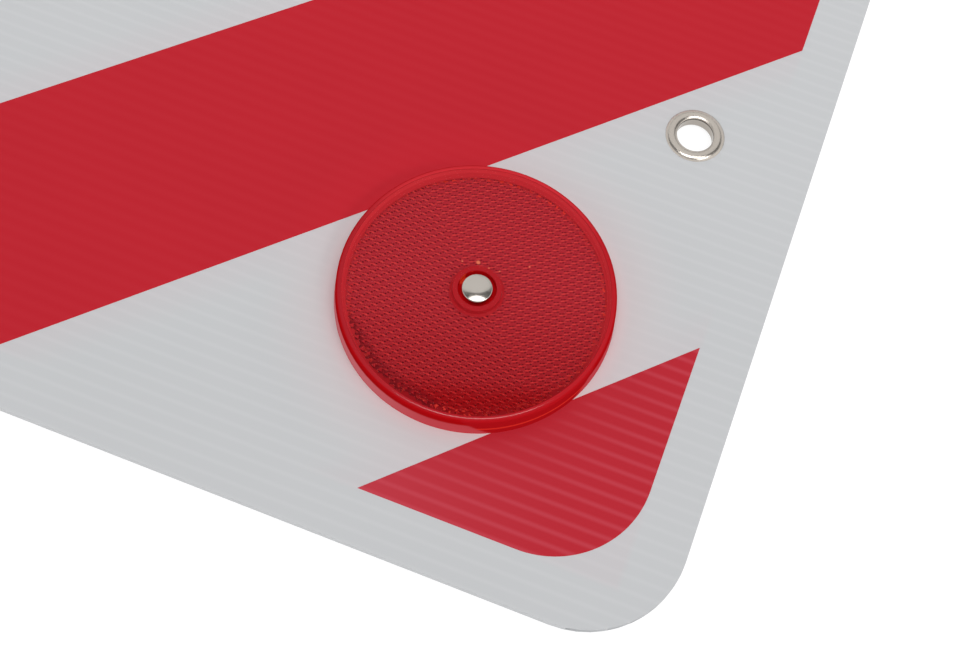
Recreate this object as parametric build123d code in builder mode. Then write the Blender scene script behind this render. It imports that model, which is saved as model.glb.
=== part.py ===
"""Overhanging load sign: a square fluted sheet with red stripes, round reflectors and eyelets.

The sign lies face up, as a sheet comes to rest, on the rear heads of its four rivets.
X runs to the right and Y up the face, Z out of the face. The origin is under the centre.
"""

import math
import os

from build123d import *

# Sheet: two skins joined by ribs, with open flutes that run along X
panel_side = 500.0
panel_thickness = 3.0
panel_corner_radius = 30.0
skin_thickness = 0.35
rib_thickness = 0.35
flute_pitch = 4.0

# Printed stripes, clipped to a rounded field inside the white border
border_width = 15.8
field_corner_radius = 30.0
stripe_count = 5
stripe_width = 77.3
stripe_angle = 45.0
ink_thickness = 0.05

# Round reflectors, one in each corner
reflector_side_inset = 83.25
reflector_end_inset = 82.65
reflector_radius = 41.4
reflector_height = 8.45
lens_draft = 0.7
lens_edge_radius = 1.4
lens_wall = 1.5
lens_face_thickness = 3.2
weld_ledge_width = 1.2
weld_ledge_depth = 1.7
boss_radius = 7.8
recess_radius = 5.75
recess_depth = 2.6
back_plate_thickness = 1.5
back_plate_clearance = 0.15

# Cap rivets that hold the reflectors on
cap_radius = 4.6
cap_height = 3.7
cap_skirt_height = 2.4
cap_edge_radius = 0.5
cap_wall = 0.4
post_radius = 1.9
post_head_radius = 2.7
post_head_height = 0.8
rear_head_height = 1.8
rear_head_edge_radius = 0.9
rivet_clearance = 0.1
cap_clearance = 0.05

# Rolled metal eyelets, two near each side edge
eyelet_side_inset = 39.0
eyelet_end_inset = 162.4
eyelet_bore_radius = 5.85
eyelet_flange_radius = 9.45
eyelet_crest_radius = 7.4
eyelet_arch_radius = 2.6
eyelet_wall = 0.4
eyelet_throat_radius = 0.6
eyelet_flare_radius = 1.9
eyelet_curl_radius = 1.1
eyelet_clearance = 0.1
washer_radius = 9.4
washer_thickness = 0.5
washer_clearance = 0.1

# Levels, counted up from the surface that the sign lies on
panel_back = rear_head_height
panel_front = panel_back + panel_thickness
seat_level = panel_front + ink_thickness
lens_front = seat_level + reflector_height
recess_floor = lens_front - recess_depth
chamber_ceiling = lens_front - lens_face_thickness
plate_front = chamber_ceiling - weld_ledge_depth
plate_back = plate_front - back_plate_thickness
washer_back = panel_back - washer_thickness

# Places of the reflectors and the eyelets
half_side = panel_side / 2
reflector_offset_x = half_side - reflector_side_inset
reflector_offset_y = half_side - reflector_end_inset
eyelet_offset_x = half_side - eyelet_side_inset
eyelet_offset_y = half_side - eyelet_end_inset
corner_signs = {
    "lower_right": (1, -1),
    "upper_right": (1, 1),
    "upper_left": (-1, 1),
    "lower_left": (-1, -1),
}
reflector_spots = {
    corner: (across * reflector_offset_x, up * reflector_offset_y)
    for corner, (across, up) in corner_signs.items()
}
eyelet_spots = {
    corner: (across * eyelet_offset_x, up * eyelet_offset_y)
    for corner, (across, up) in corner_signs.items()
}

# Holes that the rivets and the eyelets pass through, and the rivets' heads
rear_head_radius = cap_radius
rivet_hole_radius = post_radius + rivet_clearance
eyelet_barrel_radius = eyelet_bore_radius + eyelet_wall
eyelet_hole_radius = eyelet_barrel_radius + eyelet_clearance

# Stripes, set out along the sheet's diagonal from corner to corner
panel_diagonal = panel_side * math.sqrt(2)
stripe_pitch = (panel_diagonal - stripe_width) / (stripe_count - 1)
stripe_names = [
    "stripe_lower_right_corner",
    "stripe_lower_right",
    "stripe_centre",
    "stripe_upper_left",
    "stripe_upper_left_corner",
]


def section_plane(spot):
    """The upright plane through a spot, for the profile of a turned piece."""
    return Plane(origin=(*spot, 0), x_dir=(1, 0, 0), z_dir=(0, -1, 0))


def upright_axis(spot):
    """The axis that a turned piece at a spot is turned about."""
    return Axis((*spot, 0), (0, 0, 1))


def make_panel():
    """The sheet: its outline, the row of flutes through it, and its punched holes."""
    flute_count = round((panel_side - rib_thickness) / flute_pitch)
    fitted_pitch = (panel_side - rib_thickness) / flute_count
    flute_width = fitted_pitch - rib_thickness
    flute_height = panel_thickness - 2 * skin_thickness
    middle_level = (panel_back + panel_front) / 2
    with BuildPart() as panel:
        with BuildSketch(Plane.XY.offset(panel_back)):
            RectangleRounded(panel_side, panel_side, panel_corner_radius)
        extrude(amount=panel_thickness)
        with BuildSketch(Plane.YZ):
            with Locations((0, middle_level)):
                with GridLocations(fitted_pitch, 0, flute_count, 1):
                    Rectangle(flute_width, flute_height)
        extrude(amount=panel_side, both=True, mode=Mode.SUBTRACT)
        with BuildSketch(Plane.XY.offset(panel_back)):
            with Locations(*reflector_spots.values()):
                Circle(rivet_hole_radius)
            with Locations(*eyelet_spots.values()):
                Circle(eyelet_hole_radius)
        extrude(amount=panel_thickness, mode=Mode.SUBTRACT)
    return panel


def make_stripe(place):
    """One printed field: a slanted band, clipped to the rounded field inside the border."""
    field_side = panel_side - 2 * border_width
    along_diagonal = (place - (stripe_count - 1) / 2) * stripe_pitch
    centre_x = -along_diagonal * math.cos(math.radians(stripe_angle))
    centre_y = along_diagonal * math.sin(math.radians(stripe_angle))
    with BuildPart() as stripe:
        with BuildSketch(Plane.XY.offset(panel_front)):
            RectangleRounded(field_side, field_side, field_corner_radius)
            with Locations((centre_x, centre_y)):
                Rectangle(
                    2 * panel_side, stripe_width, rotation=stripe_angle, mode=Mode.INTERSECT
                )
            with Locations(*reflector_spots.values()):
                Circle(rivet_hole_radius, mode=Mode.SUBTRACT)
            with Locations(*eyelet_spots.values()):
                Circle(eyelet_hole_radius, mode=Mode.SUBTRACT)
        extrude(amount=ink_thickness)
    return stripe


def make_lens(spot):
    """The lens: a drafted cup with a thick face, a weld ledge, and a stepped boss for the rivet."""
    wall_inside = reflector_radius - lens_wall
    ledge_inside = wall_inside - weld_ledge_width
    with BuildPart() as lens:
        with BuildSketch(section_plane(spot)):
            with BuildLine():
                Polyline(
                    (rivet_hole_radius, seat_level),
                    (boss_radius, seat_level),
                    (boss_radius, chamber_ceiling),
                    (ledge_inside, chamber_ceiling),
                    (ledge_inside, plate_front),
                    (wall_inside, plate_front),
                    (wall_inside, seat_level),
                    (reflector_radius + lens_draft, seat_level),
                    (reflector_radius, lens_front),
                    (recess_radius, lens_front),
                    (recess_radius, recess_floor),
                    (rivet_hole_radius, recess_floor),
                    close=True,
                )
            make_face()
        revolve(axis=upright_axis(spot))
        front_faces = lens.faces().filter_by(Plane.XY).group_by(Axis.Z)[-1]
        fillet(front_faces.edges().sort_by(SortBy.LENGTH)[-1], radius=lens_edge_radius)
    return lens


def make_back_plate(spot):
    """The disc that closes the prism chamber, round the boss and up against the ledge."""
    outer_radius = reflector_radius - lens_wall - back_plate_clearance
    inner_radius = boss_radius + back_plate_clearance
    with BuildPart() as plate:
        with BuildSketch(Plane.XY.offset(plate_back)):
            with Locations(spot):
                Circle(outer_radius)
                Circle(inner_radius, mode=Mode.SUBTRACT)
        extrude(amount=back_plate_thickness)
    return plate


def make_rivet_caps():
    """Thin domed caps with their rims turned in under them, one seated in each lens's recess."""
    cap_top = recess_floor + cap_height
    inside_radius = cap_radius - cap_wall
    inside_floor = recess_floor + cap_wall
    shoulder = recess_floor + cap_skirt_height
    stem_hole = post_radius + cap_clearance
    # A tight arc at the shoulder runs smoothly into a wide crown arc
    rise = cap_top - shoulder
    shoulder_centre = (cap_radius - cap_edge_radius, shoulder)
    crown_radius = (shoulder_centre[0] ** 2 + rise**2 - cap_edge_radius**2) / (
        2 * (rise - cap_edge_radius)
    )
    crown_centre = (0, cap_top - crown_radius)
    turn = math.degrees(math.atan2(shoulder - crown_centre[1], shoulder_centre[0]))
    with BuildPart() as caps:
        for spot in reflector_spots.values():
            with BuildSketch(section_plane(spot)):
                with BuildLine():
                    Line((stem_hole, recess_floor), (inside_radius, recess_floor))
                    CenterArc((inside_radius, inside_floor), cap_wall, 270, 90)
                    Line((cap_radius, inside_floor), (cap_radius, shoulder))
                    CenterArc(shoulder_centre, cap_edge_radius, 0, turn)
                    CenterArc(crown_centre, crown_radius, turn, 90 - turn)
                    Line((0, cap_top), (0, cap_top - cap_wall))
                    CenterArc(crown_centre, crown_radius - cap_wall, turn, 90 - turn)
                    CenterArc(shoulder_centre, cap_edge_radius - cap_wall, 0, turn)
                    Line((inside_radius, shoulder), (inside_radius, inside_floor))
                    Line((inside_radius, inside_floor), (stem_hole, inside_floor))
                    Line((stem_hole, inside_floor), (stem_hole, recess_floor))
                make_face()
            revolve(axis=upright_axis(spot))
    return caps


def make_rivet_posts():
    """Stems with their rear heads below the sheet and their spread ends inside the caps."""
    head_floor = recess_floor + cap_wall + cap_clearance
    stem_top = head_floor + post_head_height
    with BuildPart() as posts:
        for spot in reflector_spots.values():
            with BuildSketch(section_plane(spot)):
                with BuildLine():
                    Polyline(
                        (0, 0),
                        (rear_head_radius, 0),
                        (rear_head_radius, panel_back),
                        (post_radius, panel_back),
                        (post_radius, head_floor),
                        (post_head_radius, head_floor),
                        (post_head_radius, stem_top),
                        (0, stem_top),
                        close=True,
                    )
                make_face()
            revolve(axis=upright_axis(spot))
        rear_faces = posts.faces().group_by(Axis.Z)[0]
        fillet(rear_faces.edges(), radius=rear_head_edge_radius)
    return posts


def make_eyelet(spot):
    """The eyelet: an arched flange, a tight throat, a barrel, and a flare curled back at the rear."""
    # The arch stands on the sheet at its outer end and runs smoothly into the throat
    half_span = eyelet_flange_radius - eyelet_crest_radius
    below_seat = math.sqrt(eyelet_arch_radius**2 - half_span**2)
    arch_centre = (eyelet_crest_radius, seat_level - below_seat)
    between_centres = eyelet_arch_radius - eyelet_throat_radius
    inward = eyelet_crest_radius - eyelet_throat_radius - eyelet_bore_radius
    slope = math.degrees(math.asin(inward / between_centres))
    throat_centre = (
        eyelet_crest_radius - inward,
        arch_centre[1] + math.sqrt(between_centres**2 - inward**2),
    )
    arch_inside = eyelet_arch_radius - eyelet_wall
    throat_outside = eyelet_throat_radius - eyelet_wall
    foot = math.degrees(math.asin(below_seat / eyelet_arch_radius))
    foot_inside = math.degrees(math.asin(below_seat / arch_inside))
    lip_inside = arch_centre[0] + math.sqrt(arch_inside**2 - below_seat**2)
    # The flare turns outward under the washer, and the curl turns its edge back up
    curl_centre = (eyelet_bore_radius + eyelet_flare_radius, washer_back)
    flare_level = washer_back - eyelet_curl_radius + eyelet_flare_radius
    flare_centre = (curl_centre[0], flare_level)
    flare_inside = eyelet_flare_radius - eyelet_wall
    curl_inside = eyelet_curl_radius - eyelet_wall
    curl_lip = curl_centre[0] + eyelet_curl_radius
    with BuildPart() as eyelet:
        with BuildSketch(section_plane(spot)):
            with BuildLine():
                CenterArc(arch_centre, eyelet_arch_radius, foot, 90 + slope - foot)
                CenterArc(throat_centre, eyelet_throat_radius, 90 + slope, 90 - slope)
                Line((eyelet_bore_radius, throat_centre[1]), (eyelet_bore_radius, flare_level))
                CenterArc(flare_centre, eyelet_flare_radius, 180, 90)
                CenterArc(curl_centre, eyelet_curl_radius, 270, 90)
                Line((curl_lip, washer_back), (curl_lip - eyelet_wall, washer_back))
                CenterArc(curl_centre, curl_inside, 270, 90)
                CenterArc(flare_centre, flare_inside, 180, 90)
                Line((eyelet_barrel_radius, flare_level), (eyelet_barrel_radius, throat_centre[1]))
                CenterArc(throat_centre, throat_outside, 90 + slope, 90 - slope)
                CenterArc(arch_centre, arch_inside, foot_inside, 90 + slope - foot_inside)
                Line((lip_inside, seat_level), (eyelet_flange_radius, seat_level))
            make_face()
        revolve(axis=upright_axis(spot))
    return eyelet


def make_washer(spot):
    """The flat ring behind the sheet that the eyelet is curled over, clear of its flare."""
    flare_outside = eyelet_flare_radius - eyelet_wall
    flare_drop = eyelet_flare_radius - eyelet_curl_radius
    flare_reach = flare_outside - math.sqrt(flare_outside**2 - flare_drop**2)
    hole_radius = eyelet_barrel_radius + flare_reach + washer_clearance
    with BuildPart() as washer:
        with BuildSketch(Plane.XY.offset(washer_back)):
            with Locations(spot):
                Circle(washer_radius)
                Circle(hole_radius, mode=Mode.SUBTRACT)
        extrude(amount=washer_thickness)
    return washer


def save(piece, name):
    """Writes one finished piece under its own name."""
    piece.part.label = name
    export_step(piece.part, f"parts/{name}.step")


os.makedirs("parts", exist_ok=True)

save(make_panel(), "panel")

for place, stripe_name in enumerate(stripe_names):
    save(make_stripe(place), stripe_name)

for corner, spot in reflector_spots.items():
    save(make_lens(spot), f"reflector_lens_{corner}")
    save(make_back_plate(spot), f"reflector_back_{corner}")

for corner, spot in eyelet_spots.items():
    save(make_eyelet(spot), f"eyelet_{corner}")
    save(make_washer(spot), f"eyelet_washer_{corner}")

save(make_rivet_caps(), "rivet_caps")
save(make_rivet_posts(), "rivet_posts")
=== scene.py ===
"""Looks of the overhanging load sign: finishes, the prisms under the reflectors, light and camera.

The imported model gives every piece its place. Lengths are in millimetres in the finishes and
where a name or a comment says mm, and in metres everywhere else.
"""

import math

import bpy
from mathutils import Matrix, Vector


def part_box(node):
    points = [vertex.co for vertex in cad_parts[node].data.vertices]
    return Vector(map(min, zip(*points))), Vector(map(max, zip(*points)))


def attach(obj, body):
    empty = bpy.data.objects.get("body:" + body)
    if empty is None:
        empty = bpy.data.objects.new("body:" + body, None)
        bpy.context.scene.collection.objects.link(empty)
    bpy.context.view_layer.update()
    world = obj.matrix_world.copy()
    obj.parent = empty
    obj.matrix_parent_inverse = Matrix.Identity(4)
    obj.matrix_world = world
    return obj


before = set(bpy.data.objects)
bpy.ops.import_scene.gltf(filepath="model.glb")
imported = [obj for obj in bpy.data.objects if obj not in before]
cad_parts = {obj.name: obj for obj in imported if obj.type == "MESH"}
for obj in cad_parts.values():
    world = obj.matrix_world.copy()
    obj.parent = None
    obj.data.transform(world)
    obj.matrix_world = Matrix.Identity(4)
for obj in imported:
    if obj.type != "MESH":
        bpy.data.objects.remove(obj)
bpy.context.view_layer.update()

MM = 0.001

# Camera: where it stands, what it looks at, how far it is rolled, its lens and its sensor's width
camera_place = Vector((0.2082, -0.3425, 0.4061))
camera_target = Vector((0.1721, -0.1731, 0.0048))
camera_roll_degrees = 9.415
camera_lens_mm = 54.59
camera_sensor_mm = 36.0

# Light: the room's brightness by how far a direction leans from straight up, in degrees, less
# than 0 to the far side and more than 0 to the near side, two softboxes and a pale round panel
room_turn_degrees = 21.0
room_spread_near = 0.55
room_spread_far = 0.9
room_lowest_height = 0.05
room_levels = (
    (-90, 0.8),
    (-69, 0.8),
    (-63, 0.12),
    (-2, 0.14),
    (12, 0.03),
    (24, 0.03),
    (32, 0.3),
    (46, 0.3),
    (54, 0.85),
    (90, 0.95),
)
lamps = {
    "softbox_overhead": {
        "shape": "RECTANGLE",
        "place": Vector((0.69, -1.29, 4.66)),
        "target": Vector((0.167, -0.167, 0.0)),
        "turn_degrees": room_turn_degrees,
        "width": 3.8,
        "length": 1.5,
        "brightness": 4.75,
    },
    "softbox_right": {
        "shape": "RECTANGLE",
        "place": Vector((1.3, -0.62, 1.4)),
        "target": Vector((0.167, -0.1, 0.0)),
        "turn_degrees": 70.0,
        "width": 0.9,
        "length": 0.3,
        "brightness": 5.0,
    },
    "pale_panel": {
        "shape": "ELLIPSE",
        "place": Vector((-0.079, 0.473, 0.714)),
        "target": Vector((-0.079, 0.473, 0.0)),
        "turn_degrees": room_turn_degrees,
        "width": 1.28,
        "length": 1.28,
        "brightness": 0.84,
    },
}

# Sheet and print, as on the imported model
sheet_side_mm = 500.0
flute_count = 125
rib_thickness_mm = 0.35
flute_pitch_mm = (sheet_side_mm - rib_thickness_mm) / flute_count
stripe_width_mm = 77.3
stripe_pitch_mm = 157.45
field_half_side_mm = 234.2

# Looks of the sheet: ribs and streaks that show, the relief of both, and a painted pink glow beside the
# print
panel_rib_width_mm = 1.1
panel_rib_share = 0.35
streak_width_mm = 0.8
streak_stretch = 40.0
sheet_relief_mm = 0.008
painted_pink_glow_mm = 14.0
painted_pink_glow_share = 0.14
# Painted sheen on the print: it starts that far up or down from the middle, and ends between two
# distances to the sides
painted_sheen_inner_mm = 165.0
painted_sheen_sides_mm = (120.0, 225.0)
# Painted glow of light on the sheet round a reflector, from its axis: full and none in mm, and its share
painted_reflector_glow = ((42.1, 47.5, 0.55), (44.0, 66.0, 0.45))

# Reflector's lens: where it is clear, its recess, its wall and where it shines. Each point of the wall
# is painted with the sheet that lies wall_reach times the point's height farther out, as a painted
# reflection and see-through of that sheet
reflector_radius_mm = 41.0
clear_radius_mm = 39.6
clear_share = 0.84
recess_radius_mm = 6.0
# A painted highlight on the recess's upper side: its angle and distance from the axis
painted_recess_highlight_angle = 160.0
painted_recess_highlight_distance_mm = 5.75
wall_reach = 0.65
skirt_height_mm = 4.6
painted_print_reflection_height_mm = 3.0
shine_angle = 286.0
shine_inner_mm = 40.32
shine_outer_mm = 40.48
face_shine = 0.08

# Prisms: they lie in a flat field under the clear face. Each vector is a length in mm and an angle
prism_vectors = ((2.364, 44.47), (2.319, -15.1))
prism_step_mm = 0.16
prism_depth_mm = 2.35
prism_inner_radius_mm = 7.4
prism_field_radius_mm = 38.8
prism_seam_angle = 135.0
prism_shade_angle = 289.0
dash_edge_mm = 0.12
# Rings of the plain moulding: radius, level and offset toward the near side in mm, None between bands
margin_rings = (
    (5.78, 2.2, 0.0),
    (7.3, 2.2, 0.0),
    (7.45, 0.3, 0.0),
    (8.2, -0.1, 0.0),
    None,
    (36.5, -0.25, 0.0),
    (39.5, -0.2, 0.0),
    None,
    (38.5, 0.3, 0.7),
    (39.0, 0.35, 0.6),
    (39.5, 1.2, 0.35),
    (40.3, 2.15, 0.0),
)
margin_segments = 96
# Painted glints and painted dark spots that repeat on the lattice from its start, where all lengths
# are in mm: glint or dark, offset, length, width, angle and strength
upper_start = (13.02, 12.1)
upper_marks = (
    ("glint", (0.30, 0.21), 2.3, 0.30, 27.0, 0.85),
    ("glint", (-0.03, -0.01), 0.95, 0.36, 21.0, 1.0),
    ("dark", (-0.55, 0.29), 0.55, 0.36, 23.0, 0.9),
    ("dark", (0.23, 0.67), 0.85, 0.34, 24.0, 0.8),
    ("dark", (0.81, -0.09), 0.6, 0.36, 30.0, 0.9),
    ("dark", (0.11, -0.49), 0.8, 0.30, 24.0, 0.5),
)
lower_start = (-12.14, -12.69)
lower_marks = (
    ("glint", (-0.2, -0.05), 2.3, 0.32, -4.0, 0.8),
    ("glint", (0.0, 0.0), 0.95, 0.38, -12.0, 1.0),
    ("dark", (0.41, 0.58), 0.6, 0.52, 0.0, 1.0),
    ("dark", (-0.68, -0.40), 0.6, 0.46, 0.0, 0.9),
    ("dark", (-0.3, 0.66), 0.5, 0.40, 0.0, 0.6),
    ("dark", (0.04, -0.53), 0.5, 0.36, 0.0, 0.6),
    ("dark", (1.01, -0.23), 1.1, 0.26, 2.0, 0.6),
)
# Painted glints and painted shadow on the field's edge, as the angle of their middle and half their width
edge_glints = ((100.0, 38.0), (20.0, 16.0), (338.0, 12.0), (276.0, 18.0))
edge_shadow_angle = 245.0
edge_shadow_width = 33.0
edge_shadow_share = 0.55
# Single painted glints near the boss: x, y and size in mm
boss_glints = (
    (-2.97, 9.07, 1.3),
    (-7.5, 7.6, 0.5),
    (0.6, 8.5, 0.6),
    (3.9, 8.8, 0.5),
    (11.7, 13.6, 0.6),
)
# How far each reflector is turned, so that the four lie evenly round the sign
reflector_turns = {
    "lower_right": 0.0,
    "upper_right": 90.0,
    "upper_left": 180.0,
    "lower_left": 270.0,
}

# Metal: plated eyelets, darker down the bore and with a painted dark reflection at the throat,
# and polished rivet caps
eyelet_metal = (0.63, 0.575, 0.515, 1.0)
eyelet_roughness = 0.22
eyelet_bore_radius_mm = 6.2
eyelet_throat_depth_mm = 0.9
eyelet_darker_depth_mm = 1.6
cap_metal = (0.62, 0.575, 0.52, 1.0)
cap_roughness = 0.16

# Floor: half the length of its side, and how bright it is to the eye by itself
floor_half_side = 6.0
floor_glow = 0.86


def linear(red, green, blue):
    """A colour given as 0 to 255 values on screen, as the light values that a shader takes."""
    values = []
    for channel in (red, green, blue):
        share = channel / 255
        if share <= 0.04045:
            values.append(share / 12.92)
        else:
            values.append(((share + 0.055) / 1.055) ** 2.4)
    return (*values, 1.0)


def scaled(colour, factor):
    """A colour with its three channels multiplied."""
    return (*(channel * factor for channel in colour[:3]), 1.0)


class Nodes:
    """Short calls for the nodes of one tree."""

    def __init__(self, tree):
        self.tree = tree

    def node(self, kind, **settings):
        """A new node with its settings."""
        made = self.tree.nodes.new(kind)
        for setting, value in settings.items():
            setattr(made, setting, value)
        return made

    def join(self, value, socket):
        """Links a socket, or sets a number or a colour."""
        if isinstance(value, bpy.types.NodeSocket):
            self.tree.links.new(value, socket)
        else:
            socket.default_value = value

    def math(self, operation, first, second=0.0, clamp=False):
        """One sum, product or the like of one or two numbers."""
        made = self.node("ShaderNodeMath", operation=operation, use_clamp=clamp)
        self.join(first, made.inputs[0])
        self.join(second, made.inputs[1])
        return made.outputs[0]

    def toward(self, x, y, degrees):
        """How far x and y reach in the direction of an angle."""
        turn = math.radians(degrees)
        across = self.math("MULTIPLY", x, math.cos(turn))
        along = self.math("MULTIPLY", y, math.sin(turn))
        return self.math("ADD", across, along)


class Finish(Nodes):
    """A material, with the calls that the finishes share."""

    def __init__(self, name):
        self.material = bpy.data.materials.new(name)
        self.material.use_nodes = True
        super().__init__(self.material.node_tree)
        self.surface = self.tree.nodes["Principled BSDF"]

    def set(self, socket_name, value):
        """Gives the shader's own socket a number, a colour or a link."""
        self.join(value, self.surface.inputs[socket_name])

    def place(self):
        """X, Y and Z on the object, in millimetres."""
        where = self.node("ShaderNodeTexCoord").outputs["Object"]
        in_mm = self.node("ShaderNodeVectorMath", operation="SCALE")
        self.join(where, in_mm.inputs[0])
        self.join(1 / MM, in_mm.inputs["Scale"])
        parts = self.node("ShaderNodeSeparateXYZ")
        self.join(in_mm.outputs[0], parts.inputs[0])
        return parts.outputs

    def vector(self, x, y, z):
        """Three numbers as one vector."""
        made = self.node("ShaderNodeCombineXYZ")
        for value, socket in zip((x, y, z), made.inputs):
            self.join(value, socket)
        return made.outputs[0]

    def fade(self, value, full_at, none_at):
        """1 where value is at full_at, 0 at none_at, smooth between and held beyond."""
        made = self.node("ShaderNodeMapRange", interpolation_type="SMOOTHSTEP")
        self.join(value, made.inputs["Value"])
        low, high = sorted((full_at, none_at))
        made.inputs["From Min"].default_value = low
        made.inputs["From Max"].default_value = high
        made.inputs["To Min"].default_value = 1.0 if full_at < none_at else 0.0
        made.inputs["To Max"].default_value = 0.0 if full_at < none_at else 1.0
        return made.outputs["Result"]

    def blend(self, share, first, second):
        """A colour between two, first at share 0 and second at share 1."""
        made = self.node("ShaderNodeMix", data_type="RGBA")
        self.join(share, made.inputs[0])
        self.join(first, made.inputs[6])
        self.join(second, made.inputs[7])
        return made.outputs[2]

    def noise(self, x, y, z, size_mm, detail=2.0):
        """Soft random values from 0 to 1, with patches of about that size."""
        made = self.node("ShaderNodeTexNoise")
        self.join(self.vector(x, y, z), made.inputs["Vector"])
        made.inputs["Scale"].default_value = 1 / size_mm
        made.inputs["Detail"].default_value = detail
        return made.outputs["Fac"]

    def bump(self, height, depth_mm):
        """Relief from a height of 0 to 1 that stands for depth_mm."""
        made = self.node("ShaderNodeBump")
        made.inputs["Distance"].default_value = depth_mm * MM
        self.join(height, made.inputs["Height"])
        self.set("Normal", made.outputs["Normal"])

    def radius(self, x, y):
        """Distance from the origin of x and y."""
        return self.math("SQRT", self.math("ADD", self.math("MULTIPLY", x, x), self.math("MULTIPLY", y, y)))

    def distance(self, x, y, centre_x, centre_y):
        """Distance of x and y from a centre."""
        return self.radius(self.math("SUBTRACT", x, centre_x), self.math("SUBTRACT", y, centre_y))


def rib_line(finish, y, width_mm):
    """1 on the ribs between the flutes, and 0 away from them."""
    steps = finish.math("DIVIDE", finish.math("SUBTRACT", y, flute_pitch_mm / 2), flute_pitch_mm)
    past = finish.math("SUBTRACT", steps, finish.math("ROUND", steps))
    away = finish.math("MULTIPLY", finish.math("ABSOLUTE", past), flute_pitch_mm)
    return finish.fade(away, 0.0, width_mm)


def distance_from_print(finish, x, y):
    """How far a point of the sheet lies from the nearest stripe's edge, across the stripes."""
    along = finish.math("DIVIDE", finish.math("SUBTRACT", x, y), math.sqrt(2))
    steps = finish.math("DIVIDE", along, stripe_pitch_mm)
    past = finish.math("SUBTRACT", steps, finish.math("ROUND", steps))
    off_centre = finish.math("MULTIPLY", finish.math("ABSOLUTE", past), stripe_pitch_mm)
    return finish.math("SUBTRACT", off_centre, stripe_width_mm / 2)


def from_axis(finish, x, y, piece_name):
    """Distance from the axis of the nearest of four like pieces, which lie as mirror images."""
    low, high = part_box(piece_name)
    across = finish.math("ABSOLUTE", x)
    up = finish.math("ABSOLUTE", y)
    return finish.distance(across, up, (low.x + high.x) / 2 / MM, (low.y + high.y) / 2 / MM)


def painted_glow_beside_reflector(finish, x, y):
    """1 at a reflector's foot, where the sheet takes up its painted glow of light, and 0 farther out."""
    away = from_axis(finish, x, y, "reflector_lens_upper_right")
    foot, broad = [
        finish.math("MULTIPLY", finish.fade(away, full_at, none_at), share)
        for full_at, none_at, share in painted_reflector_glow
    ]
    return finish.math("ADD", foot, broad)


def make_panel_finish():
    """White polypropylene: faint ribs, fine lines along the flutes, a painted pink glow beside the red."""
    finish = Finish("panel_white")
    x, y, z = finish.place()
    rib = rib_line(finish, y, panel_rib_width_mm)
    patches = finish.noise(x, y, z, size_mm=60.0)
    streaks = finish.noise(finish.math("DIVIDE", x, streak_stretch), y, z, streak_width_mm)
    plain = finish.blend(patches, linear(201, 203, 205), linear(205, 206, 208))
    rib_shown = finish.math("MULTIPLY", rib, panel_rib_share)
    ribbed = finish.blend(rib_shown, plain, linear(212, 213, 215))
    farthest = finish.math("MAXIMUM", finish.math("ABSOLUTE", x), finish.math("ABSOLUTE", y))
    in_field = finish.fade(farthest, field_half_side_mm - 1.0, field_half_side_mm + 1.5)
    # Painted light: a pink glow of scattered light on the white beside the red print
    near_stripe = finish.fade(distance_from_print(finish, x, y), 0.0, painted_pink_glow_mm)
    beside_print = finish.math("MULTIPLY", near_stripe, in_field)
    cast = finish.math("MULTIPLY", beside_print, painted_pink_glow_share)
    tinted = finish.blend(cast, ribbed, linear(214, 184, 190))
    # Painted light: the sheet is painted paler and pinker round each reflector, as light through its red
    # wall
    finish.set("Base Color", finish.blend(painted_glow_beside_reflector(finish, x, y), tinted, linear(220, 210, 212)))
    finish.set("Roughness", 0.45)
    finish.set("Specular IOR Level", 0.25)
    relief = finish.math("ADD", rib, finish.math("MULTIPLY", streaks, 0.25))
    finish.bump(relief, sheet_relief_mm)
    return finish.material


def make_print_finish(name, ink, ink_on_ribs, rib_width_mm, rib_share, painted_glow_factor, painted_sheen_share):
    """Red ink on the sheet, paler on the ribs, with a painted sheen toward the sheet's upper or lower edge.
    """
    finish = Finish(name)
    x, y, z = finish.place()
    rib = finish.math("MULTIPLY", rib_line(finish, y, rib_width_mm), rib_share)
    patches = finish.noise(x, y, z, size_mm=35.0)
    plain = finish.blend(patches, ink, scaled(ink, 1.05))
    # Painted sheen: the ink turns a hazy pink toward the sheet's upper and lower edges
    toward_edge = finish.math(
        "MULTIPLY",
        finish.fade(finish.math("ABSOLUTE", y), field_half_side_mm, painted_sheen_inner_mm),
        finish.fade(finish.math("ABSOLUTE", x), *painted_sheen_sides_mm),
    )
    haze = finish.math("MULTIPLY", toward_edge, painted_sheen_share)
    plain = finish.blend(haze, plain, linear(204, 78, 92))
    lined = finish.blend(rib, plain, ink_on_ribs)
    # Painted light: the ink is painted brighter round each reflector
    glow = scaled(ink, painted_glow_factor)
    finish.set("Base Color", finish.blend(painted_glow_beside_reflector(finish, x, y), lined, glow))
    finish.set("Roughness", 0.45)
    finish.set("Specular IOR Level", 0.1)
    finish.bump(rib, sheet_relief_mm)
    return finish.material


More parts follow.
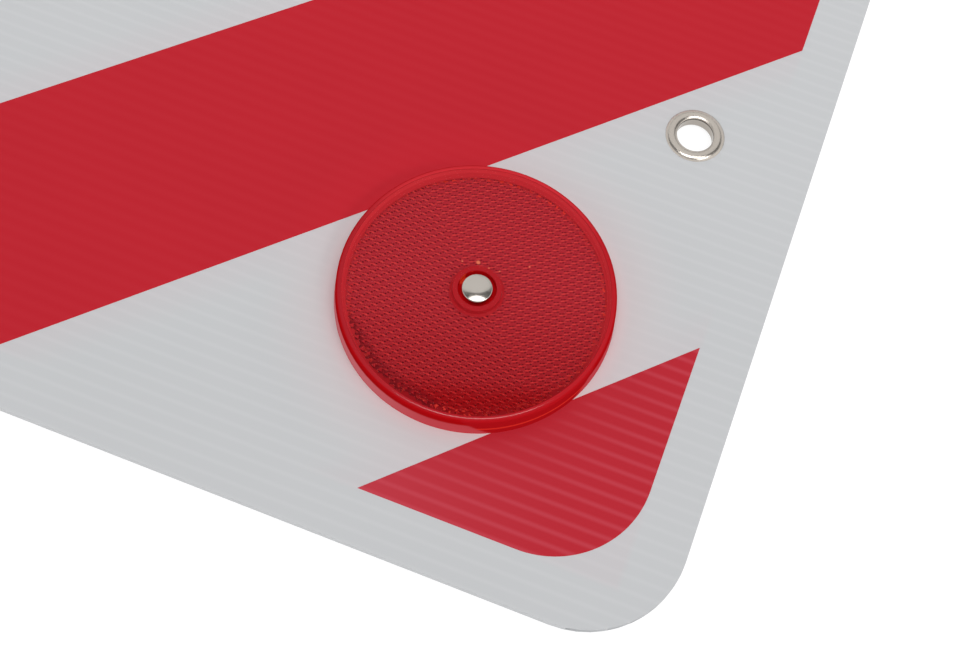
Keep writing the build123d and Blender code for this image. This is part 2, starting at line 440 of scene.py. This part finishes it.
def make_lens_finish():
    """Clear red face over the prisms, deep red rim, and a skirt painted with the sheet's reflection and
    see-through.
    """
    finish = Finish("reflector_red_lens")
    x, y, z = finish.place()
    low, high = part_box("reflector_lens_upper_right")
    centre_x = (low.x + high.x) / 2 / MM
    centre_y = (low.y + high.y) / 2 / MM
    front_mm = high.z / MM
    seat_mm = low.z / MM
    off_axis = from_axis(finish, x, y, "reflector_lens_upper_right")
    on_face = finish.fade(z, front_mm - 0.02, front_mm - 0.2)
    inside_rim = finish.fade(off_axis, clear_radius_mm, clear_radius_mm + 0.4)
    clear_face = finish.math("MULTIPLY", on_face, inside_rim)
    in_recess = finish.fade(off_axis, recess_radius_mm, recess_radius_mm + 0.4)
    # The wall is painted with the sheet in front of it, as reflection and see-through, farther out the
    # higher up the wall
    above_seat = finish.math("SUBTRACT", z, seat_mm)
    reach = finish.math("MULTIPLY", above_seat, wall_reach / reflector_radius_mm)
    seen = []
    for value, centre in ((x, centre_x), (y, centre_y)):
        away = finish.math("SUBTRACT", finish.math("ABSOLUTE", value), centre)
        step = finish.math("MULTIPLY", finish.math("MULTIPLY", away, reach), finish.math("SIGN", value))
        seen.append(finish.math("ADD", value, step))
    over_print = finish.fade(distance_from_print(finish, *seen), -0.5, 0.5)
    skirt = finish.fade(above_seat, skirt_height_mm, skirt_height_mm + 1.2)
    foot = finish.fade(above_seat, 0.1, 0.6)
    # Sides of the lower right reflector, which lies at centre_x and -centre_y
    from_x = finish.math("SUBTRACT", x, centre_x)
    from_y = finish.math("ADD", y, centre_y)
    toward_side = finish.toward(from_x, from_y, shine_angle - 90)
    toward_near = finish.toward(from_x, from_y, shine_angle)
    # Painted reflection: the pink of the sheet, paler toward the sides
    painted_reflection_side = finish.fade(toward_side, 36.0, 8.0)
    pink = finish.blend(painted_reflection_side, linear(206, 76, 84), linear(216, 116, 122))
    pink = finish.blend(foot, pink, linear(212, 50, 58))
    over_white = finish.blend(skirt, linear(180, 12, 18), pink)
    # Painted reflection of the print: an orange streak across the wall at one height
    from_painted_print_reflection = finish.math("ABSOLUTE", finish.math("SUBTRACT", above_seat, painted_print_reflection_height_mm))
    painted_print_reflection = finish.fade(from_painted_print_reflection, 0.15, 0.8)
    over_red = finish.blend(painted_print_reflection, linear(184, 20, 28), linear(224, 50, 42))
    wall = finish.blend(over_print, over_white, over_red)
    round_edge = finish.fade(z, front_mm - 0.1, front_mm - 0.5)
    # Painted light and shade on the round edge, which is palest on the far side
    edge_side = finish.fade(toward_side, 30.0, -10.0)
    edge_far = finish.fade(toward_near, -36.0, -16.0)
    lit_edge = finish.blend(edge_side, linear(186, 34, 42), linear(176, 38, 46))
    lit_edge = finish.blend(edge_far, lit_edge, linear(207, 48, 56))
    body = finish.blend(round_edge, wall, lit_edge)
    # The recess is painted bright red against its shade, with painted glints and a painted highlight arc
    specks = finish.noise(x, y, z, size_mm=1.1, detail=1.0)
    upper_recess = finish.fade(z, front_mm - 0.6, front_mm - 1.4)
    recess_glint = finish.math("MULTIPLY", finish.fade(specks, 0.66, 0.6), upper_recess)
    recess = finish.blend(recess_glint, linear(214, 16, 24), linear(240, 60, 40))
    arc_x = centre_x + painted_recess_highlight_distance_mm * math.cos(math.radians(painted_recess_highlight_angle))
    arc_y = painted_recess_highlight_distance_mm * math.sin(math.radians(painted_recess_highlight_angle)) - centre_y
    in_painted_highlight = finish.fade(finish.distance(x, y, arc_x, arc_y), 0.9, 1.7)
    recess = finish.blend(in_painted_highlight, recess, linear(255, 74, 44))
    body = finish.blend(in_recess, body, recess)
    finish.set("Base Color", finish.blend(clear_face, body, linear(170, 20, 28)))
    finish.set("Roughness", 0.25)
    finish.set("Specular IOR Level", 0.0)
    # The round edge shines on the near side alone
    near_side = finish.fade(toward_near, 36.5, 31.0)
    edge = finish.math(
        "MULTIPLY",
        finish.fade(off_axis, shine_inner_mm, shine_inner_mm - 0.1),
        finish.fade(off_axis, shine_outer_mm, shine_outer_mm + 0.12),
    )
    shine = finish.math("MULTIPLY", edge, finish.fade(z, front_mm - 0.4, front_mm - 0.8))
    shine = finish.math("MULTIPLY", shine, near_side)
    on_front = finish.math("MULTIPLY", clear_face, face_shine)
    finish.set("Coat Weight", finish.math("ADD", shine, on_front))
    finish.set("Coat IOR", 1.65)
    finish.set("Coat Roughness", 0.03)
    finish.set("Alpha", finish.math("SUBTRACT", 1.0, finish.math("MULTIPLY", clear_face, clear_share)))
    return finish.material


def make_margin_finish():
    """Plain red moulding round the prisms, with painted shade on the near side and painted light on the
    slope.
    """
    finish = Finish("reflector_red_margin")
    x, y = finish.place()[:2]
    toward_shade = finish.toward(x, y, prism_shade_angle)
    off_axis = finish.radius(x, y)
    # Painted light on the slope, against the shadow of the rim above it
    on_slope = finish.fade(off_axis, 39.2, 39.0)
    plain = finish.blend(on_slope, linear(206, 48, 56), linear(218, 54, 62))
    on_boss = finish.fade(off_axis, 8.6, 9.4)
    plain = finish.blend(on_boss, plain, linear(188, 36, 44))
    # Painted shade toward the near side
    shaded = finish.fade(toward_shade, 36.0, 8.0)
    finish.set("Base Color", finish.blend(shaded, plain, linear(166, 22, 30)))
    finish.set("Roughness", 0.35)
    finish.set("Specular IOR Level", 0.05)
    return finish.material


def make_plain_red(name, colour, roughness):
    """Moulded red plastic with a faint unevenness."""
    finish = Finish(name)
    x, y, z = finish.place()
    patches = finish.noise(x, y, z, size_mm=6.0)
    finish.set("Base Color", finish.blend(patches, scaled(colour, 0.9), colour))
    finish.set("Roughness", roughness)
    finish.set("Specular IOR Level", 0.1)
    finish.bump(patches, depth_mm=0.01)
    return finish.material


def make_metal(name, colour, roughness):
    """Plated metal, polished, with a slight haze that varies."""
    finish = Finish(name)
    x, y, z = finish.place()
    haze = finish.noise(x, y, z, size_mm=1.5)
    spread = finish.math("MULTIPLY", haze, roughness)
    finish.set("Base Color", colour)
    finish.set("Metallic", 1.0)
    finish.set("Roughness", finish.math("ADD", spread, roughness / 2))
    finish.bump(haze, depth_mm=0.003)
    return finish.material


def make_eyelet_finish(colour, roughness):
    """Plated metal, darker down the bore, with a painted dark reflection where the throat turns into it."""
    finish = Finish("nickel_plate")
    x, y, z = finish.place()
    haze = finish.noise(x, y, z, size_mm=1.5)
    top_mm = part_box("eyelet_upper_right")[1].z / MM
    throat_mm = top_mm - eyelet_throat_depth_mm
    down_bore = finish.fade(z, top_mm - eyelet_darker_depth_mm, throat_mm)
    off_axis = from_axis(finish, x, y, "eyelet_upper_right")
    in_bore = finish.fade(off_axis, eyelet_bore_radius_mm, eyelet_bore_radius_mm + 0.4)
    # Painted reflection: a dark line where the throat turns into the bore
    from_throat = finish.math("ABSOLUTE", finish.math("SUBTRACT", z, throat_mm))
    line = finish.math("MULTIPLY", in_bore, finish.fade(from_throat, 0.1, 0.45))
    plated = finish.blend(down_bore, colour, scaled(colour, 0.62))
    finish.set("Base Color", finish.blend(line, plated, scaled(colour, 0.12)))
    finish.set("Metallic", 1.0)
    finish.set("Roughness", finish.math("ADD", finish.math("MULTIPLY", haze, 0.06), roughness))
    return finish.material


def lattice_offset(finish, x, y, start):
    """The way from the nearest point of the prism lattice, which passes through start."""
    (first, first_angle), (second, second_angle) = prism_vectors
    first_x = first * math.cos(math.radians(first_angle))
    first_y = first * math.sin(math.radians(first_angle))
    second_x = second * math.cos(math.radians(second_angle))
    second_y = second * math.sin(math.radians(second_angle))
    area = first_x * second_y - first_y * second_x
    from_x = finish.math("SUBTRACT", x, start[0])
    from_y = finish.math("SUBTRACT", y, start[1])
    steps = []
    for side_x, side_y in ((second_x, second_y), (-first_x, -first_y)):
        count = finish.math(
            "SUBTRACT",
            finish.math("MULTIPLY", from_x, side_y / area),
            finish.math("MULTIPLY", from_y, side_x / area),
        )
        steps.append(finish.math("SUBTRACT", count, finish.math("ROUND", count)))
    offsets = []
    for along_first, along_second in ((first_x, second_x), (first_y, second_y)):
        offsets.append(
            finish.math(
                "ADD",
                finish.math("MULTIPLY", steps[0], along_first),
                finish.math("MULTIPLY", steps[1], along_second),
            )
        )
    return offsets


def lattice_dash(finish, x, y, start, length_mm, width_mm, angle):
    """1 inside a short round-ended dash that repeats on the prism lattice."""
    across, up = lattice_offset(finish, x, y, start)
    along = finish.math("ABSOLUTE", finish.toward(across, up, angle))
    beside = finish.toward(across, up, angle + 90)
    straight = (length_mm - width_mm) / 2
    past_end = finish.math("MAXIMUM", finish.math("SUBTRACT", along, straight), 0.0)
    away = finish.radius(past_end, beside)
    return finish.fade(away, max(width_mm / 2 - dash_edge_mm, 0.0), width_mm / 2 + dash_edge_mm)


def edge_arc(finish, x, y, angle, width, soft):
    """1 on the part of the field's edge that lies within width degrees of an angle."""
    share = finish.math("DIVIDE", finish.toward(x, y, angle), prism_field_radius_mm)
    limit = math.cos(math.radians(width))
    return finish.fade(share, limit + soft, limit - soft)


def make_prism_finish():
    """Red prisms seen through the face: painted glints and painted dark spots that repeat on the lattice.
    """
    finish = Finish("reflector_red_prisms")
    x, y = finish.place()[:2]
    upper_half = finish.fade(finish.toward(x, y, prism_seam_angle - 90), 0.15, -0.15)
    off_axis = finish.radius(x, y)
    toward_shade = finish.toward(x, y, prism_shade_angle)
    # Painted shade: darker toward the near side, and deepest at its edge
    shade = finish.fade(toward_shade, 34.0, -6.0)
    deep = finish.fade(toward_shade, 35.0, 26.0)
    base = finish.blend(shade, linear(187, 48, 59), linear(170, 34, 42))
    base = finish.blend(deep, base, linear(156, 4, 10))
    dark = finish.blend(shade, linear(98, 22, 32), linear(70, 9, 17))
    dark = finish.blend(deep, dark, linear(96, 2, 6))
    glint = finish.blend(shade, linear(228, 68, 68), linear(218, 52, 52))
    glint = finish.blend(deep, glint, linear(200, 30, 30))
    halves = []
    for start, marks in ((lower_start, lower_marks), (upper_start, upper_marks)):
        colour = base
        for kind, offset, length_mm, width_mm, angle, strength in marks:
            place = (start[0] + offset[0], start[1] + offset[1])
            dash = lattice_dash(finish, x, y, place, length_mm, width_mm, angle)
            shown = glint if kind == "glint" else dark
            colour = finish.blend(finish.math("MULTIPLY", dash, strength), colour, shown)
        halves.append(colour)
    field = finish.blend(upper_half, *halves)
    # Painted glints where cut prisms at the field's edge catch the light, and painted shade where they are
    # dark
    specks = finish.noise(x, y, 0.0, size_mm=1.3, detail=1.0)
    near_edge = finish.fade(off_axis, 37.6, 36.8)
    sparkling = finish.math("MULTIPLY", near_edge, finish.fade(specks, 0.6, 0.53))
    bright_side = 0.35
    for angle, width in edge_glints:
        bright_side = finish.math("MAXIMUM", bright_side, edge_arc(finish, x, y, angle, width, 0.02))
    shadow = edge_arc(finish, x, y, edge_shadow_angle, edge_shadow_width, 0.05)
    patches = finish.math("MULTIPLY", finish.fade(off_axis, 37.8, 33.5), finish.fade(specks, 0.44, 0.62))
    patches = finish.math("MULTIPLY", patches, shadow)
    field = finish.blend(finish.math("MULTIPLY", patches, edge_shadow_share), field, linear(92, 12, 22))
    fringe = finish.math("MULTIPLY", finish.fade(off_axis, 38.0, 34.5), shadow)
    field = finish.blend(finish.math("MULTIPLY", fringe, edge_shadow_share), field, linear(96, 13, 23))
    field = finish.blend(finish.math("MULTIPLY", sparkling, bright_side), field, linear(240, 62, 50))
    # Painted glints near the boss
    for spot_x, spot_y, size_mm in boss_glints:
        away = finish.distance(x, y, spot_x, spot_y)
        spot = finish.fade(away, size_mm * 0.3, size_mm * 0.6)
        field = finish.blend(spot, field, linear(255, 140, 104))
    finish.set("Base Color", field)
    finish.set("Roughness", 0.4)
    finish.set("Specular IOR Level", 0.05)
    return finish.material


def prism_mesh():
    """A disc of corner-cube prisms, with plain moulding round it and round the boss."""
    first, second = [
        Vector((math.cos(math.radians(angle)), math.sin(math.radians(angle)))) * length
        for length, angle in prism_vectors
    ]
    # Corners of the six-sided cell round each point of the lattice
    half_ring = ((2 * first - second) / 3, (first - 2 * second) / 3, (first + second) / -3)
    corners = [*half_ring, *(-way for way in half_ring)]
    seam = math.radians(prism_seam_angle)
    seam_normal = Vector((math.sin(seam), -math.cos(seam)))
    points = {}
    heights = {}
    faces = []

    def corner(place, level):
        """The number of the point at a place, which keeps its levels so that they can be averaged."""
        key = (round(place.x, 2), round(place.y, 2))
        if key not in points:
            points[key] = len(points)
            heights[key] = []
        heights[key].append(level)
        return points[key]

    # The lattice is skewed, so its rows reach farther than the radius
    reach = int(prism_field_radius_mm / first.length * 1.3)
    for across in range(-reach, reach + 1):
        for along in range(-reach, reach + 1):
            centre = first * across + second * along
            if not prism_inner_radius_mm < centre.length < prism_field_radius_mm:
                continue
            in_upper_half = centre.dot(seam_normal) > 0
            # The six corners lie by turns one step and two steps above the middle
            ring = []
            for step in range(6):
                place = centre + corners[step]
                level = 1 + (step + in_upper_half) % 2
                ring.append(corner(place, level))
            middle = corner(centre, 0)
            start = 1 if in_upper_half else 0
            for step in (start, start + 2, start + 4):
                faces.append((middle, ring[step % 6], ring[(step + 1) % 6], ring[(step + 2) % 6]))
    vertices = []
    for key in points:
        level = sum(heights[key]) / len(heights[key])
        vertices.append((key[0] * MM, key[1] * MM, (level - 2) * prism_step_mm * MM))
    prism_faces = len(faces)
    # Rings of plain moulding, each from its inner to its outer radius and level
    near = math.radians(prism_shade_angle)
    for inner, outer in zip(margin_rings[:-1], margin_rings[1:]):
        if inner is None or outer is None:
            continue
        start = len(vertices)
        for step in range(margin_segments):
            angle = 2 * math.pi * step / margin_segments
            for distance, level, offset in (inner, outer):
                across = distance * math.cos(angle) + offset * math.cos(near)
                along = distance * math.sin(angle) + offset * math.sin(near)
                vertices.append((across * MM, along * MM, level * MM))
        for step in range(margin_segments):
            here = start + 2 * step
            after = start + 2 * ((step + 1) % margin_segments)
            faces.append((here, here + 1, after + 1, after))
    mesh = bpy.data.meshes.new("prism_field")
    mesh.from_pydata(vertices, [], faces)
    for number, polygon in enumerate(mesh.polygons):
        polygon.material_index = 0 if number < prism_faces else 1
    return mesh


def add_prism_fields(prisms, margin):
    """Lays a field of prisms under each reflector's face."""
    mesh = prism_mesh()
    mesh.materials.append(prisms)
    mesh.materials.append(margin)
    for corner_name, turn in reflector_turns.items():
        low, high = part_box(f"reflector_lens_{corner_name}")
        field = bpy.data.objects.new(f"prism_field_{corner_name}", mesh)
        bpy.context.scene.collection.objects.link(field)
        centre = (low + high) / 2
        top = high.z - prism_depth_mm * MM
        field.matrix_world = Matrix.Translation((centre.x, centre.y, top)) @ Matrix.Rotation(
            math.radians(turn), 4, "Z"
        )
        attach(field, "root")


def dress(finishes):
    """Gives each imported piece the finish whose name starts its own."""
    for name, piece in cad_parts.items():
        for start, material in finishes.items():
            if name.startswith(start):
                piece.data.materials.clear()
                piece.data.materials.append(material)
                break


def add_floor():
    """A white floor that stays white to the eye and keeps a faint shadow."""
    finish = Finish("floor_white")
    tree = finish.tree
    tree.nodes.remove(finish.surface)
    output = tree.nodes["Material Output"]
    path = finish.node("ShaderNodeLightPath")
    seen = finish.math("ADD", path.outputs["Is Camera Ray"], path.outputs["Is Glossy Ray"])
    seen = finish.math("ADD", seen, path.outputs["Is Transmission Ray"], clamp=True)
    glow = finish.node("ShaderNodeEmission")
    finish.join(finish.math("MULTIPLY", seen, floor_glow), glow.inputs["Strength"])
    cover = finish.node("ShaderNodeBsdfDiffuse")
    lighting_grey = linear(225, 225, 225)
    seen_grey = linear(140, 140, 140)
    finish.join(finish.blend(seen, lighting_grey, seen_grey), cover.inputs["Color"])
    both = finish.node("ShaderNodeAddShader")
    finish.join(glow.outputs[0], both.inputs[0])
    finish.join(cover.outputs[0], both.inputs[1])
    finish.join(both.outputs[0], output.inputs["Surface"])
    half = floor_half_side
    corners = [(-half, -half, 0), (half, -half, 0), (half, half, 0), (-half, half, 0)]
    mesh = bpy.data.meshes.new("floor")
    mesh.from_pydata(corners, [], [(0, 1, 2, 3)])
    mesh.materials.append(finish.material)
    floor = bpy.data.objects.new("floor", mesh)
    bpy.context.scene.collection.objects.link(floor)


def light_world():
    """A pale room, graded from its far side over the top to its near side."""
    world = bpy.data.worlds.new("studio")
    bpy.context.scene.world = world
    world.use_nodes = True
    room = Nodes(world.node_tree)
    background = room.tree.nodes["Background"]
    direction = room.node("ShaderNodeTexCoord").outputs["Generated"]
    parts = room.node("ShaderNodeSeparateXYZ")
    room.join(direction, parts.inputs[0])
    east, north, height = parts.outputs
    across = room.toward(east, north, room_turn_degrees)
    near = room.toward(east, north, room_turn_degrees - 90)
    height = room.math("MAXIMUM", height, room_lowest_height)
    # Away from the middle, a direction counts as leaning farther, by its own factor on each side
    spread = room.math("DIVIDE", room.math("MULTIPLY", across, across), height)
    middle_spread = (room_spread_near - room_spread_far) / 2
    half_range = (room_spread_near + room_spread_far) / 2
    factor = room.math("ADD", room.math("MULTIPLY", room.math("SIGN", near), half_range), middle_spread)
    farther = room.math("ADD", near, room.math("MULTIPLY", spread, factor))
    lean = room.math("ARCTAN2", farther, height)
    # 0 at the far horizon, 0.5 straight up and 1 at the near horizon
    share = room.math("ADD", room.math("DIVIDE", lean, math.pi), 0.5)
    ramp = room.node("ShaderNodeValToRGB")
    room.join(share, ramp.inputs[0])
    first, *middle, last = room_levels
    for stop, (degrees, level) in zip(ramp.color_ramp.elements, (first, last)):
        stop.position = degrees / 180 + 0.5
        stop.color = (level, level, level, 1.0)
    for degrees, level in middle:
        stop = ramp.color_ramp.elements.new(degrees / 180 + 0.5)
        stop.color = (level, level, level, 1.0)
    room.join(ramp.outputs[0], background.inputs["Color"])
    background.inputs["Strength"].default_value = 1.0


def add_lamp(name, shape, place, target, turn_degrees, width, length, brightness):
    """A flat lamp that faces its target and is as bright per area as a surface of that brightness."""
    lamp = bpy.data.lights.new(name, "AREA")
    lamp.shape = shape
    lamp.size = width
    lamp.size_y = length
    area = width * length * (math.pi**2 / 16 if shape == "ELLIPSE" else 1.0)
    lamp.energy = brightness * math.pi * area
    made = bpy.data.objects.new(name, lamp)
    bpy.context.scene.collection.objects.link(made)
    facing = (place - target).normalized()
    along = Vector((math.cos(math.radians(turn_degrees)), math.sin(math.radians(turn_degrees)), 0.0))
    across = facing.cross(along).normalized()
    along = across.cross(facing)
    turn = Matrix((along, across, facing)).transposed().to_4x4()
    made.matrix_world = Matrix.Translation(place) @ turn
    made.visible_camera = False


def add_camera():
    """The camera at the photograph's place."""
    lens = bpy.data.cameras.new("camera")
    lens.sensor_width = camera_sensor_mm
    lens.lens = camera_lens_mm
    camera = bpy.data.objects.new("camera", lens)
    bpy.context.scene.collection.objects.link(camera)
    turn = (camera_target - camera_place).to_track_quat("-Z", "Y").to_matrix().to_4x4()
    roll = Matrix.Rotation(math.radians(camera_roll_degrees), 4, "Z")
    camera.matrix_world = Matrix.Translation(camera_place) @ turn @ roll
    bpy.context.scene.camera = camera


long_ink = make_print_finish(
    "print_red",
    ink=linear(191, 33, 46),
    ink_on_ribs=linear(196, 42, 54),
    rib_width_mm=2.0,
    rib_share=0.4,
    painted_glow_factor=1.22,
    painted_sheen_share=0.0,
)
corner_ink = make_print_finish(
    "print_red_corner",
    ink=linear(188, 40, 53),
    ink_on_ribs=linear(206, 78, 92),
    rib_width_mm=1.2,
    rib_share=0.45,
    painted_glow_factor=1.04,
    painted_sheen_share=0.5,
)
nickel = make_eyelet_finish(eyelet_metal, eyelet_roughness)
dress(
    {
        "panel": make_panel_finish(),
        "stripe_lower_right_corner": corner_ink,
        "stripe_upper_left_corner": corner_ink,
        "stripe_": long_ink,
        "reflector_lens": make_lens_finish(),
        "reflector_back": make_plain_red("reflector_back", linear(150, 20, 28), roughness=0.4),
        "eyelet": nickel,
        "rivet_caps": make_metal("polished_nickel", cap_metal, cap_roughness),
        "rivet_posts": nickel,
    }
)
add_prism_fields(make_prism_finish(), make_margin_finish())
add_floor()
light_world()
for name, settings in lamps.items():
    add_lamp(name, **settings)
add_camera()

bpy.context.scene.view_settings.view_transform = "Standard"
